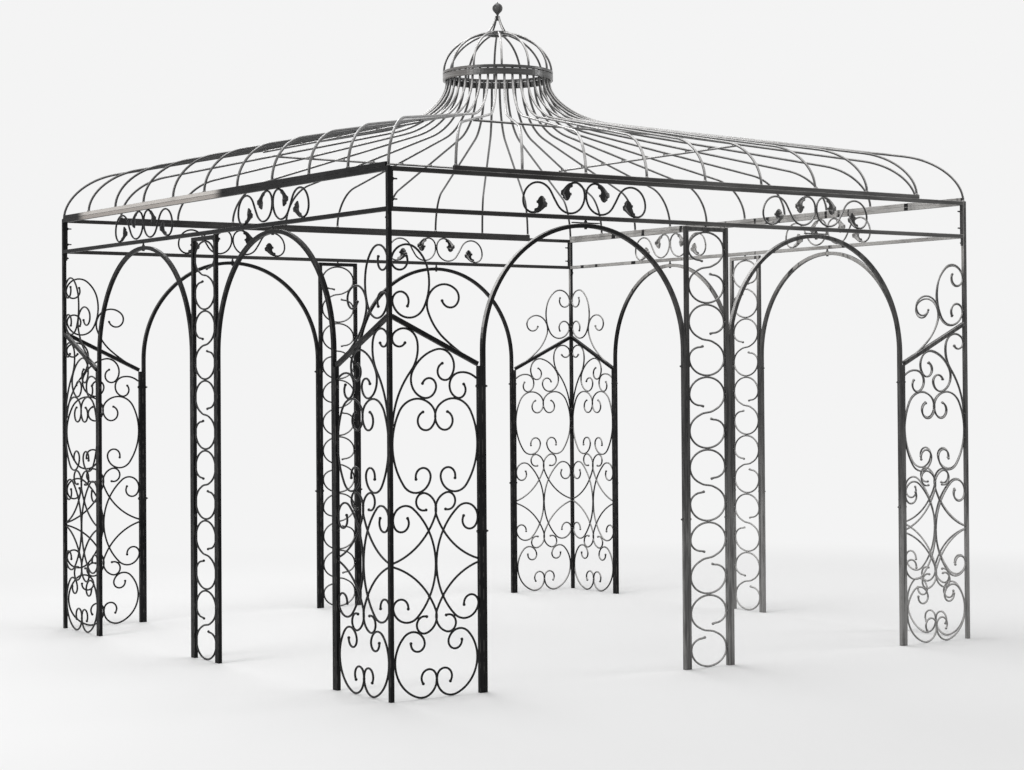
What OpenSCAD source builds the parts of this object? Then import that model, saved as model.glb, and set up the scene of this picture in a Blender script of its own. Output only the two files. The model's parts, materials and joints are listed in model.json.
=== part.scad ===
// Wrought-iron garden gazebo: a square open frame with eight arches and a domed roof cage.
// Millimetres, +Z up, origin on the ground at the centre of the plan.

/* [Overall] */
// Width and depth over the corner posts
side = 3548; // [3000:4:4200]
// Height of the top of the fascia frames
fascia_top = 2300; // [2200:5:2500]
// Width of the square tube of posts, arches and rails
tube = 20; // [16:1:25]

/* [Corner panels] */
// Clear width between a corner post and its outer post
panel_w = 440; // [360:5:500]
// Height of the outer posts
outer_post_h = 1440; // [1380:5:1480]
// Rise of the raking rail from the outer post to the corner post
rake_rise = 205; // [160:5:240]
// Thickness of the scroll bars
scroll_bar = 10; // [8:0.5:12]

/* [Arches and piers] */
// Clear width between the two posts of a middle pier
pier_clear = 225; // [190:5:260]
// Number of S-scrolls stacked in a pier
pier_scrolls = 6; // [4:2:8]
// Gap from the crown of an arch to the lower fascia rail
crown_gap = 15; // [10:1:25]
// Gap from the cap of a pier to the lower fascia rail
pier_gap = 6; // [4:1:15]
// Length of the plate over the crown of a front arch
crown_plate = 150; // [100:5:200]

/* [Fascia] */
// Clear height between the two rails of a fascia frame
fascia_gap = 154; // [130:2:180]
// Length of the corner stub below the lower rail
stub_drop = 12; // [8:1:30]
// Thickness of the end flats that bolt the front and back frames to the corner stubs
end_flat = 8; // [4:1:10]

/* [Roof] */
// Roof bars on each side, between the hips
side_bars = 9; // [5:2:11]
// Thickness of the roof bars
roof_bar = 13; // [10:0.5:14]
// Height of the straight roof slope above the fascia, where it would meet the eave
slope_foot = 204; // [180:2:240]
// Height of the straight roof slope above the fascia, where it would meet the neck
slope_head = 500; // [440:2:540]
// Height of the cupola's lower ring above the fascia
ring_rise = 706; // [660:2:760]
// Share of each roof bar that curves down at the eave
shoulder_part = 0.14; // [0.08:0.01:0.2]
// Share of each roof bar that curves up at the neck
neck_part = 0.17; // [0.12:0.01:0.22]
// Distance of the purlins from the centre
purlin_at = 1000; // [900:10:1100]
// Diameter of the purlins
purlin_d = 12; // [8:1:14]

/* [Cupola] */
// Radius of the two rings that band the neck
ring_r = 294; // [260:2:340]
// Thickness of the rings
ring_t = 14; // [10:1:20]
// Height of the lower ring
lower_ring_h = 33; // [24:1:40]
// Gap between the two rings
ring_gap = 3; // [2:1:12]
// Height of the upper ring
upper_ring_h = 16; // [12:1:24]
// Length of the roof bars' ends inside the rings
ring_lap = 44; // [38:1:48]
// Number of ribs in the dome
dome_ribs = 12; // [8:2:16]
// Thickness of the dome ribs
dome_rib = 12; // [8:1:14]
// Rise of the dome above its ring
dome_rise = 212; // [180:2:260]
// Radius of the collar at the top of the dome
collar_r = 58; // [50:1:90]
// Thickness of the collar
collar_t = 14; // [10:1:16]
// Height of the collar
collar_h = 18; // [12:1:24]
// Height of the stays between collar and finial
stay_h = 88; // [70:2:120]
// Diameter of the finial ball
ball_d = 56; // [40:1:70]
// Length of the tapered neck under the ball
ball_neck = 16; // [8:1:24]

/* [Hidden] */
// Space left between two pieces that touch
seat = 0.2;
// Depth that a scroll's weld sinks into the bar beside it
weld = 0.5;
// Bend of one straight step along a curve, in degrees
bend_step = 18;
// Panel sheet that the scrolls are set out on: width, height of the outer post, full height
pattern = [440, 1440, 2106];
// Strips across half of it, where bars are welded side by side, that keep their width
strips = [[0, 10], [95, 142], [210, 220]];
// Lift of its lowest curls, and the height over which the lift fades out
foot_lift = 7;
foot_zone = 400;

rail_bottom = fascia_top - 2 * tube - fascia_gap;
post_top = rail_bottom - stub_drop;
panel_out = tube + panel_w + tube;
pier_w = pier_clear + 2 * tube;
arch_span = (side - 2 * panel_out - pier_w) / 2;
arch_r = (arch_span - tube) / 2;
arch_top = rail_bottom - crown_gap;
arch_spring = arch_top - tube / 2 - arch_r;
arch_mid = panel_out + arch_span / 2;
pier_top = rail_bottom - pier_gap;
rake_angle = atan(rake_rise / panel_w);
rake_foot = outer_post_h + tube / 2 / cos(rake_angle) - 2;
bar_pitch = side / (side_bars + 1);
neck_r = ring_r - ring_t / 2 - 4 * seat - roof_bar / 2;
ring_z = fascia_top + ring_rise;
upper_ring_z = ring_z + lower_ring_h + ring_gap;
dome_z = upper_ring_z + upper_ring_h;
collar_z = dome_z + dome_rise * sqrt(1 - pow(collar_r / ring_r, 2));
collar_top = collar_z + collar_h / 2;
ball_z = collar_top + stay_h + ball_neck + ball_d / 2;
roof_bars = 4 * (side_bars + 1);

// Thickness of the finial stays, and radius of the stem that they hold
stay_bar = 10;
stem_r = 5;

iron = [0.13, 0.13, 0.14];
SIDES = ["front", "right", "back", "left"];
HANDS = ["left", "right"];
CORNERS = ["front_left", "front_right", "back_right", "back_left"];

// ---- Bent bars -------------------------------------------------------------------------
// Points of one arc from p with heading h, radius r and turn a (left is positive)
function arc_points(p, h, r, a) =
    let (s = sign(a), n = max(2, ceil(abs(a) / bend_step)), c = p + s * r * [-sin(h), cos(h)])
    [for (i = [1:n]) c + s * r * [sin(h + a * i / n), -cos(h + a * i / n)]];

// Centre line of a bar bent through a list of [radius, turn] arcs
function bent(p, h, bends, i = 0) =
    i == len(bends) ? [p] :
    let (a = arc_points(p, h, bends[i][0], bends[i][1]), n = len(a))
    concat([p], [for (k = [0:1:n - 2]) a[k]], bent(a[n - 1], h + bends[i][1], bends, i + 1));

// One edge of a bar, at distance d to the left of its centre line
function edge(line, d) = [for (i = [0:len(line) - 1])
    let (a = line[max(i - 1, 0)], b = line[min(i + 1, len(line) - 1)], t = (b - a) / norm(b - a))
    line[i] + d * [-t[1], t[0]]];

function reversed(list) = [for (i = [len(list) - 1:-1:0]) list[i]];

module bar(line, w) {
    polygon(concat(edge(line, w / 2), reversed(edge(line, -w / 2))));
}

// Stands a drawing up in the plane y = at, with its thickness centred there
module upright(at, t) {
    translate([0, at, 0]) rotate([90, 0, 0]) linear_extrude(t, center = true) children();
}

// Frame of one side: x along the side from its left end seen from outside, y inwards
module on_side(i) {
    rotate([0, 0, 90 * i]) translate([-side / 2, -side / 2, 0]) children();
}

// The right half of a side mirrors its left half
module on_hand(j) {
    if (j == 0) children();
    else translate([side, 0, 0]) mirror([1, 0, 0]) children();
}

// ---- Corner posts ----------------------------------------------------------------------
module corner_post(i) {
    color(iron) on_side(i) cube([tube, tube, post_top]);
}

// ---- Corner panels ---------------------------------------------------------------------
// Start point, heading and bends of each scroll, set out from the corner post's inner face
eye = 38;
C_BOTTOM = [[155, 54], 139, [[eye, -214], [75, -124], [164, -115], [61, -119], [eye - 3, -214]]];
C_TALL = [[72, 788], 313, [[eye, -191], [62, -162], [318, -95], [73, -122], [eye, -211]]];
ARM_UP = [[3, 592], 17, [[336, 51], [75, 95], [eye, 226]]];
ARM_DOWN = [[3, 576], 343, [[336, -51], [75, -95], [eye, -226]]];
C_OVAL = [[122, 943], 116, [[eye, -215], [75, -136], [310, -62], [104, -106], [67, -95], [eye + 3, -211]]];
STEM = [[3, 1181], 87, [[398, -37], [159, 49], [70, 123], [35, 207]]];
C_RAKE = [[264, 1453], 191, [[eye, 217], [74, 145], [186, 48], [82, 104], [54, 95], [36, 180]]];
HOOK = [[434, 1386], 140, [[111, 52], [57, 142], [36, 170]]];
C_CREST = [[75, 1920], 307, [[41, -231], [79, -113], [161, -40], [235, -41], [86, -133], [41, -240]]];
CREST_SIDE = [[436, 1453], 155, [[771, -15], [270, -30], [90, -152], [45, -216]]];
PAIRED = [C_BOTTOM, C_TALL, ARM_UP, ARM_DOWN, C_OVAL];
SINGLE = [STEM, C_RAKE, HOOK, C_CREST, CREST_SIDE];

// Stretches the sheet to the panel's width, but only between its weld strips
function loose(x, k) = max(0, min(x, strips[k + 1][0]) - strips[k][1]);
function loose_part(x) = (loose(x, 0) + loose(x, 1)) / (loose(pattern[0], 0) + loose(pattern[0], 1));
function fitted_x(x) =
    x > pattern[0] / 2 ? panel_w - fitted_x(pattern[0] - x) : x + (panel_w - pattern[0]) / 2 * loose_part(x);

// Stretches it up to the outer post's top, and from there to the rail, clear of the ground
function fitted_z(z) =
    z < pattern[1] ? (z + foot_lift * max(0, 1 - z / foot_zone)) * outer_post_h / pattern[1] :
    outer_post_h + (z - pattern[1]) * (rail_bottom - outer_post_h) / (pattern[2] - pattern[1]);
function fitted(line) = [for (p = line) [fitted_x(p[0]), fitted_z(p[1])]];
function flipped(line) = [for (p = line) [panel_w - p[0], p[1]]];

module scroll(s, flip = false) {
    line = fitted(bent(s[0], s[1], s[2]));
    bar(flip ? flipped(line) : line, scroll_bar);
}

module panel_drawing() {
    intersection() {
        union() {
            for (s = PAIRED) {
                scroll(s);
                scroll(s, true);
            }
            for (s = SINGLE) scroll(s);
        }
        translate([seat, 0]) square([panel_w + tube / 2, post_top]);
    }
}

module panel(i, j) {
    color(iron) on_side(i) on_hand(j) {
        translate([tube, 0, 0]) upright(tube / 2, scroll_bar) panel_drawing();
        translate([tube + panel_w, 0, 0]) cube([tube, tube, outer_post_h]);
        translate([tube, 0, 0]) upright(tube / 2, tube) intersection() {
            bar([[-tube, rake_foot + rake_rise + tube * tan(rake_angle)],
                 [panel_w + tube, rake_foot - tube * tan(rake_angle)]], tube);
            translate([seat, 0]) square([panel_w + 2, post_top]);
        }
    }
}

// ---- Arches ----------------------------------------------------------------------------
module arch(i, j) {
    color(iron) on_side(i) on_hand(j) translate([arch_mid, 0, 0]) {
        for (s = [-1, 1])
            translate([s * arch_r - tube / 2 + (s < 0 ? seat : 0), 0, 0]) cube([tube - seat, tube, arch_spring]);
        upright(tube / 2, tube) intersection() {
            translate([0, arch_spring]) difference() {
                circle(r = arch_r + tube / 2 - seat, $fn = 96);
                circle(r = arch_r - tube / 2, $fn = 96);
            }
            translate([-arch_span, arch_spring]) square([2 * arch_span, arch_span]);
        }
    }
}

// ---- Piers -----------------------------------------------------------------------------
module pier(i) {
    share = (pier_top - tube - weld) / pier_scrolls;
    color(iron) on_side(i) translate([side / 2, 0, 0]) {
        for (s = [-1, 1])
            translate([s * (pier_clear + tube) / 2 - tube / 2, 0, 0]) cube([tube, tube, pier_top]);
        translate([-pier_clear / 2 - 1, 0, pier_top - tube]) cube([pier_clear + 2, tube, tube]);
        upright(tube / 2, scroll_bar) for (k = [0:pier_scrolls - 1])
            translate([0, weld + (k + 0.5) * share]) mirror([(pier_scrolls + k + (i > 1 ? 0 : 1)) % 2, 0])
                pier_scroll(pier_clear / 2, share / 2);
    }
}

// Upper half of an S-scroll that fits a space 2 * w wide and h high
function half_scroll(w, h) =
    let (a = w - scroll_bar / 2 + weld, b = (h - scroll_bar) / 2 + weld)
    concat([[a / 4, b / 20]],
           [for (t = [-60:20:180]) [a * cos(t), h / 2 + b * sin(t)]],
           [for (t = [200:20:260]) [a * (0.64 * cos(t) - 0.36), h / 2 + 0.64 * b * sin(t)]],
           [[-0.36 * a, 0.36 * b], [-0.2 * a, 0.36 * b]]);

// S-scroll centred on the origin, 2 * w wide and 2 * h high
module pier_scroll(w, h) {
    half = half_scroll(w, h);
    bar(concat([for (p = reversed(half)) -p], [[0, 0]], half), scroll_bar);
}

// ---- Fascia frames ---------------------------------------------------------------------
module fascia(i) {
    stub = i % 2 == 1;
    inset = stub ? 0 : tube + seat;
    color(iron) on_side(i) {
        for (z = [rail_bottom, fascia_top - tube])
            translate([inset, 0, z]) cube([side - 2 * inset, tube, tube]);
        for (j = [0, 1]) on_hand(j)
            if (stub) translate([0, 0, post_top + seat]) cube([tube, tube, fascia_top - post_top - seat]);
            else translate([inset, 0, rail_bottom]) cube([end_flat, tube, fascia_top - rail_bottom]);
    }
}

// Paired S-scrolls over each arch
module fascia_scrolls(i) {
    color(iron) on_side(i) for (j = [0, 1]) on_hand(j)
        upright(tube / 2, scroll_bar) translate([arch_mid, rail_bottom + tube]) intersection() {
            union() for (m = [0, 1]) mirror([m, 0]) fascia_scroll();
            translate([-arch_span, seat]) square([2 * arch_span, fascia_gap - 2 * seat]);
        }
}

module fascia_scroll() {
    reach = fascia_gap / 2;
    eye_r = 0.62 * reach;
    line = bent([0, 0], 276, [[eye_r, -182], [reach, -155], [7.5 * reach, 6], [reach, 157], [eye_r, 182]]);
    xs = [for (p = line) p[0]];
    zs = [for (p = line) p[1]];
    grow = (fascia_gap - scroll_bar + 2 * weld) / (max(zs) - min(zs));
    bar([for (p = line) [(p[0] - max(xs)) * grow - scroll_bar / 2 + weld,
                         (p[1] - min(zs)) * grow + scroll_bar / 2 - weld]], scroll_bar);
}

// ---- Hangers: studs between arches, piers and lower rails, and plates over the front arches ----
module hangers() {
    plate_t = 5;
    stud = 16;
    color(iron) for (i = [0:3]) on_side(i) {
        for (j = [0, 1]) on_hand(j) translate([arch_mid, tube / 2, 0]) {
            if (i == 0) translate([-crown_plate / 2, -stud / 2, arch_top + seat]) cube([crown_plate, stud, plate_t]);
            translate([-stud / 2, -stud / 2, arch_top + seat]) cube([stud, stud, crown_gap - 2 * seat]);
        }
        translate([side / 2 - stud / 2, tube / 2 - stud / 2, pier_top + seat])
            cube([stud, stud, pier_gap - 2 * seat]);
    }
}

// ---- Roof bars -------------------------------------------------------------------------
// Height above the fascia of a roof bar, with t = 0 at the neck and t = 1 at the eave
function slope_z(t) = slope_head + (slope_foot - slope_head) * t;

// Profile of a roof bar of plan length len_, from the neck out to a foot at height foot_z
function roof_line(len_, foot_z) = concat(
    [[0, ring_rise + ring_lap]],
    [for (a = [90:-15:0]) let (t = neck_part * (1 - sin(a)))
        [t * len_, slope_z(t) + (ring_rise - slope_head) * (1 - cos(a))]],
    [for (a = [0:15:90]) let (t = 1 - shoulder_part + shoulder_part * sin(a))
        [t * len_, slope_z(t) - (slope_foot - foot_z) * (1 - cos(a))]],
    [[len_, foot_z - 1]]);

// One roof bar from the neck at angle a to the plan point foot
module roof_bar_to(a, foot, foot_z) {
    head = neck_r * [cos(a), sin(a)];
    run = foot - head;
    translate([head[0], head[1], fascia_top]) rotate([0, 0, atan2(run[1], run[0])])
        upright(0, roof_bar) difference() {
            bar(roof_line(norm(run), foot_z), roof_bar);
            translate([0, foot_z - side]) square([2 * side, side]);
        }
}

// How far in from the corner a hip bar reaches over the height of the eave rails
hip_run = (side - tube) * sqrt(0.5) - neck_r;
hip_lean = shoulder_part * hip_run * (1 - sin(75)) / cos(75) * tube / (slope_foot - seat);
hip_out = tube / 2 + (roof_bar + hip_lean) * sqrt(0.5);

module side_roof_bars(i) {
    long = i % 2 == 1;
    start = long ? max(tube, hip_out) + seat : bar_pitch - tube / 2;
    color(iron) rotate([0, 0, 90 * i]) {
        for (k = [1:side_bars]) {
            a = -90 + (k - (side_bars + 1) / 2) * 360 / roof_bars;
            roof_bar_to(a, [-side / 2 + k * bar_pitch, -side / 2 + tube / 2], tube - weld);
        }
        translate([-side / 2 + start, -side / 2, fascia_top + seat])
            cube([side - 2 * start, tube, tube - seat]);
    }
}

module hip_bars() {
    color(iron) for (i = [0:3]) rotate([0, 0, 90 * i])
        roof_bar_to(-135, -(side - tube) / 2 * [1, 1], seat);
}

// ---- Purlins ---------------------------------------------------------------------------
// Height of the purlins: just under the outermost bars of each side, which hang lowest there
purlin_a = 360 / roof_bars * (side_bars - 1) / 2;
purlin_run = side / 2 - tube / 2 - neck_r * cos(purlin_a);
purlin_t = (purlin_at - neck_r * cos(purlin_a)) / purlin_run;
purlin_slope = atan((slope_head - slope_foot) / purlin_run);
purlin_z = fascia_top + slope_z(purlin_t) - (roof_bar + purlin_d) / 2 / cos(purlin_slope) - 5 * seat;
purlin_half = purlin_t * bar_pitch * (side_bars - 1) / 2
    + (1 - purlin_t) * neck_r * sin(purlin_a) + 2 * roof_bar;

module purlins() {
    color(iron) for (i = [0:3]) rotate([0, 0, 90 * i])
        translate([-purlin_half, -purlin_at, purlin_z])
            rotate([0, 90, 0]) cylinder(h = 2 * purlin_half, d = purlin_d, $fn = 24);
}

// ---- Cupola ----------------------------------------------------------------------------
module ring(r, t, h) {
    difference() {
        cylinder(h = h, r = r + t / 2, $fn = 96);
        translate([0, 0, -1]) cylinder(h = h + 2, r = r - t / 2, $fn = 96);
    }
}

module cupola_lower_ring() {
    color(iron) translate([0, 0, ring_z]) ring(ring_r, ring_t, lower_ring_h);
}

module cupola_upper_ring() {
    color(iron) translate([0, 0, upper_ring_z]) ring(ring_r, ring_t, upper_ring_h);
}

module dome_cage() {
    rib_end = acos(collar_r / ring_r);
    color(iron) {
        for (i = [0:dome_ribs - 1]) rotate([0, 0, i * 360 / dome_ribs])
            upright(0, dome_rib) translate([0, dome_z]) difference() {
                bar([for (k = [-1:8]) let (a = rib_end * k / 8) [ring_r * cos(a), dome_rise * sin(a)]],
                    dome_rib);
                translate([0, seat - side]) square([side, side]);
            }
        translate([0, 0, collar_top - collar_h]) ring(collar_r, collar_t, collar_h);
    }
}

// Four stays that lean in from the collar to the stem of the finial
module finial_stays() {
    top_r = stem_r + seat + stay_bar / 2;
    foot_r = collar_r - (collar_t - stay_bar) / 2;
    color(iron) for (i = [0:3]) rotate([0, 0, 90 * i])
        upright(0, stay_bar) translate([0, collar_top + seat]) difference() {
            bar([for (k = [-1:8]) [top_r + (foot_r - top_r) * pow(1 - k / 8, 1.5), stay_h * k / 8]],
                stay_bar);
            translate([-side, -side]) square([2 * side, side]);
        }
}

module finial_ball() {
    r = ball_d / 2;
    tip = 7;
    stem_len = 24;
    color(iron) translate([0, 0, ball_z]) rotate_extrude($fn = 48)
        polygon(concat([for (p = [[0, stem_len], [stem_r, stem_len], [stem_r, 0]]) [p[0], -r - ball_neck - p[1]]],
                       [for (a = [-50:10:75]) r * [cos(a), sin(a)]],
                       [[2, r + tip], [0, r + tip]]));
}

// ---- Nodes -----------------------------------------------------------------------------
for (i = [0:3]) {
    corner_post(i);
    for (j = [0, 1]) {
        panel(i, j);
        arch(i, j);
    }
    pier(i);
    fascia(i);
    fascia_scrolls(i);
    side_roof_bars(i);
}
hip_bars();
purlins();
hangers();
cupola_lower_ring();
cupola_upper_ring();
dome_cage();
finial_stays();
finial_ball();
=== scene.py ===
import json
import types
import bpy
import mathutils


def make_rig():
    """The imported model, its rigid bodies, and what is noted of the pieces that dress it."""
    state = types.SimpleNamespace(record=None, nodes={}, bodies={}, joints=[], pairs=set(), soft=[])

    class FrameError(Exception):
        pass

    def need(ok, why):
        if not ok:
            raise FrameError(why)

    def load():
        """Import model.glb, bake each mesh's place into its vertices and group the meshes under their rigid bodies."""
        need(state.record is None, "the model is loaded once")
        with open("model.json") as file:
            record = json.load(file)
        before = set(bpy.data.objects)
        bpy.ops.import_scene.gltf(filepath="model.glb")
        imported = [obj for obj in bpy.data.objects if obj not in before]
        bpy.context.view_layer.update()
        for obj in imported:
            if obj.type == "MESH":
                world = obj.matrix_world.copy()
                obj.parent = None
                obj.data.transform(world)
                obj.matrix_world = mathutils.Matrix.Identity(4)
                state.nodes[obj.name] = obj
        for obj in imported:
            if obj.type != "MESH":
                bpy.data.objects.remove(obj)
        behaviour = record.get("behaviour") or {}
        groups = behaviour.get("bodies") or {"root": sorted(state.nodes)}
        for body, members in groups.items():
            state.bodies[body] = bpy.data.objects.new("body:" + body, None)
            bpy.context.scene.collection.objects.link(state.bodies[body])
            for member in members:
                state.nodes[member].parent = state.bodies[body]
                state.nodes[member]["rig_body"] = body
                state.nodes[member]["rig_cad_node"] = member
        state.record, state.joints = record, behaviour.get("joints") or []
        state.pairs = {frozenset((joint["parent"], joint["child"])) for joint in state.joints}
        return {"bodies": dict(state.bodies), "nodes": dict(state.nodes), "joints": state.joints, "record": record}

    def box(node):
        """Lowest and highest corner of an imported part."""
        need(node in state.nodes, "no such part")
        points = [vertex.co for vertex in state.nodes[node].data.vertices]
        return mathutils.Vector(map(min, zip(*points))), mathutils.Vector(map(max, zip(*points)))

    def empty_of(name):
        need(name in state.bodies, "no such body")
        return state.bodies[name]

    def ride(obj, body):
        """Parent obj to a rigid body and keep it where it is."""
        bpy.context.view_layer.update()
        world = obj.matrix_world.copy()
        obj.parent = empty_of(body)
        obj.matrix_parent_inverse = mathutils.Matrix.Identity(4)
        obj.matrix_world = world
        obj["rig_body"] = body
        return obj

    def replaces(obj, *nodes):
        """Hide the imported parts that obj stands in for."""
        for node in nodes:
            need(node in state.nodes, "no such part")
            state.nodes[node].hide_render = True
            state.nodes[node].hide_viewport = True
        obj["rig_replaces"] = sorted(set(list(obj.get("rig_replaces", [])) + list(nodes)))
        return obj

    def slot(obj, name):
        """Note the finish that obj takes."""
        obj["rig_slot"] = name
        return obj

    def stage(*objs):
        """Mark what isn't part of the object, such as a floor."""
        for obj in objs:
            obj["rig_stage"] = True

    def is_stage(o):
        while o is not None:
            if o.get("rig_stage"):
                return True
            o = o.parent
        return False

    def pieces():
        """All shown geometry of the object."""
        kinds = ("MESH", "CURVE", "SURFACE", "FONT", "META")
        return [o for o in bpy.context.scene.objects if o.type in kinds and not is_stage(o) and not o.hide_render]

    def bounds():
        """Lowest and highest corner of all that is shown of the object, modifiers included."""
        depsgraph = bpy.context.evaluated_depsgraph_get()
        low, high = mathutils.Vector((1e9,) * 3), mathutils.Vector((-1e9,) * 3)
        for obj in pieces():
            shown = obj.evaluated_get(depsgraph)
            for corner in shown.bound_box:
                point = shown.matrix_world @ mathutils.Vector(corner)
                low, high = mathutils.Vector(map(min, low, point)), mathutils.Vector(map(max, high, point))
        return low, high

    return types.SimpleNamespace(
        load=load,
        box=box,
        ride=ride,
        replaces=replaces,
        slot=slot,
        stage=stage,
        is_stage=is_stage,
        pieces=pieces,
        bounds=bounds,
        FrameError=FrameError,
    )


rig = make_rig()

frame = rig.load()
cad_lo, cad_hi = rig.bounds()

import json
from math import acos, atan, ceil, copysign, cos, hypot, pi, radians, sin, tau

import bpy
from mathutils import Matrix, Vector

# ---- Floor, lamps and camera ----
# A pale seamless floor, lit by one softbox overhead, one behind and one at each hand. The
# floor turns into the backdrop's own tone a few metres out, so no horizon shows.
scene = bpy.context.scene
scene.view_settings.view_transform = "Standard"
BACKDROP = (0.905, 0.905, 0.905, 1.0)
FLOOR_TONE = (0.86, 0.86, 0.86, 1.0)
FLOOR_RADIUS, FLOOR_SIDES, FLOOR_DROP = 60.0, 96, 0.001
FLOOR_CLEAR, FLOOR_FADED = 3.4, 6.8
AMBIENT_TONE, AMBIENT = (1.0, 1.0, 1.0, 1.0), 0.45


def add_node(tree, kind, values=None, **settings):
    """A new node, with its settings and then the values of its named inputs."""
    node = tree.nodes.new(kind)
    for key, value in settings.items():
        setattr(node, key, value)
    for key, value in (values or {}).items():
        node.inputs[key].default_value = value
    return node


def wire(tree, *ends):
    """Links each output to the input that follows it in the list."""
    for source, target in zip(ends[::2], ends[1::2]):
        tree.links.new(source, target)


def backdrop_shows(tree):
    """1 on the rays that show the backdrop: the camera's, mirrored and passed ones."""
    path = add_node(tree, "ShaderNodeLightPath")
    total = path.outputs["Is Camera Ray"]
    for ray in ("Is Glossy Ray", "Is Transmission Ray"):
        both = add_node(tree, "ShaderNodeMath", operation="ADD", use_clamp=True)
        wire(tree, total, both.inputs[0], path.outputs[ray], both.inputs[1])
        total = both.outputs[0]
    return total


def show_mix(tree, factor, under, over, output):
    """Ends a tree in two mixed shaders: under where the factor is 0, over where it is 1."""
    mix = add_node(tree, "ShaderNodeMixShader")
    wire(tree,
         factor, mix.inputs[0],
         under.outputs[0], mix.inputs[1],
         over.outputs[0], mix.inputs[2],
         mix.outputs[0], add_node(tree, output).inputs["Surface"])


def put(name, data):
    """A new object of that data, in the scene."""
    thing = bpy.data.objects.new(name, data)
    scene.collection.objects.link(thing)
    return thing


def round_points(radius, count):
    """Points spaced evenly round a circle."""
    turns = [tau * k / count for k in range(count)]
    return [(radius * cos(a), radius * sin(a)) for a in turns]


world = bpy.data.worlds.new("studio")
scene.world = world
world.use_nodes = True
tree = world.node_tree
tree.nodes.clear()
ambient = add_node(tree, "ShaderNodeBackground", {"Color": AMBIENT_TONE, "Strength": AMBIENT})
shown = add_node(tree, "ShaderNodeBackground", {"Color": BACKDROP})
show_mix(tree, backdrop_shows(tree), ambient, shown, "ShaderNodeOutputWorld")

floor_mesh = bpy.data.meshes.new("floor")
rim = [(x, y, -FLOOR_DROP) for x, y in round_points(FLOOR_RADIUS, FLOOR_SIDES)]
floor_mesh.from_pydata(rim, [], [list(range(FLOOR_SIDES))])
floor = put("floor", floor_mesh)
paper = bpy.data.materials.new("floor_paper")
paper.use_nodes = True
tree = paper.node_tree
tree.nodes.clear()
place = add_node(tree, "ShaderNodeTexCoord")
reach = add_node(tree, "ShaderNodeVectorMath", operation="LENGTH")
fade = add_node(tree, "ShaderNodeMapRange", {"From Min": FLOOR_CLEAR, "From Max": FLOOR_FADED},
                interpolation_type="SMOOTHSTEP")
only_seen = add_node(tree, "ShaderNodeMath", operation="MULTIPLY")
wire(tree,
     place.outputs["Object"], reach.inputs[0],
     reach.outputs["Value"], fade.inputs["Value"],
     backdrop_shows(tree), only_seen.inputs[0],
     fade.outputs["Result"], only_seen.inputs[1])
matt = add_node(tree, "ShaderNodeBsdfDiffuse", {"Color": FLOOR_TONE})
glow = add_node(tree, "ShaderNodeEmission", {"Color": BACKDROP})
show_mix(tree, only_seen.outputs[0], matt, glow, "ShaderNodeOutputMaterial")
floor_mesh.materials.append(paper)
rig.stage(floor)

middle = (cad_lo + cad_hi) / 2
# Name, place, width in metres and power in watts of each lamp
for lamp_name, spot, width, watts in (
        ("overhead_softbox", (-0.5, 0.5, 9.0), 5.0, 330.0),
        ("left_softbox", (-9.0, -1.0, 4.5), 4.0, 260.0),
        ("right_softbox", (8.0, -5.0, 4.0), 2.4, 130.0),
        ("rear_softbox", (1.5, 8.0, 8.0), 4.0, 260.0)):
    lamp = bpy.data.lights.new(lamp_name, "AREA")
    lamp.shape = "SQUARE"
    lamp.size = width
    lamp.energy = watts
    holder = put(lamp_name, lamp)
    holder.location = spot
    holder.rotation_euler = (middle - Vector(spot)).to_track_quat("-Z", "Y").to_euler()

CAMERA_AT = Vector((-6.488, -9.591, 1.3756))
CAMERA_YAW, CAMERA_PITCH, CAMERA_ROLL = 0.6312, 0.0147, -0.0072
ahead = Vector((sin(CAMERA_YAW) * cos(CAMERA_PITCH),
                cos(CAMERA_YAW) * cos(CAMERA_PITCH), sin(CAMERA_PITCH)))
level = Vector((cos(CAMERA_YAW), -sin(CAMERA_YAW), 0.0))
upright = level.cross(ahead)
right = cos(CAMERA_ROLL) * level + sin(CAMERA_ROLL) * upright
up = cos(CAMERA_ROLL) * upright - sin(CAMERA_ROLL) * level
lens = bpy.data.cameras.new("camera")
lens.sensor_width = 36.0
lens.lens = 74.64
lens.shift_x, lens.shift_y = -0.0636, -0.0358
lens.clip_end = 200.0
camera = put("camera", lens)
camera.matrix_world = Matrix.Translation(CAMERA_AT) @ Matrix((right, up, -ahead)).transposed().to_4x4()
scene.camera = camera

# ---- Corner posts ----
# Four uprights of square steel tube with rolled corners, cut to length and brushed with
# satin black iron paint, which has thinned to grey along the edges.
half = cad_hi.x
post_lo, post_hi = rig.box("corner_post_front_left")
TUBE = post_hi.x - post_lo.x
POST_TOP = post_hi.z
SAME_PLACE = 1e-6


def round_turn(i):
    return Matrix.Rotation(pi / 2 * i, 4, "Z")


def on_side(i, x, z, hand=0, y=TUBE / 2):
    """A point of one side's own drawing: x from its left end seen from outside, y inwards."""
    if hand:
        x = 2 * half - x
    return round_turn(i) @ Vector((x - half, y - half, z))


def profile(name, points, edge):
    """A closed outline of half width 1, with how near each point is to a corner of it."""
    mesh = bpy.data.meshes.new(name)
    count = len(points)
    mesh.from_pydata([(x, y, 0.0) for x, y in points], [(k, (k + 1) % count) for k in range(count)], [])
    mesh.attributes.new("edge", "FLOAT", "POINT").data.foreach_set("value", edge)
    outline = put(name, mesh)
    outline.hide_render = True
    return outline


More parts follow.
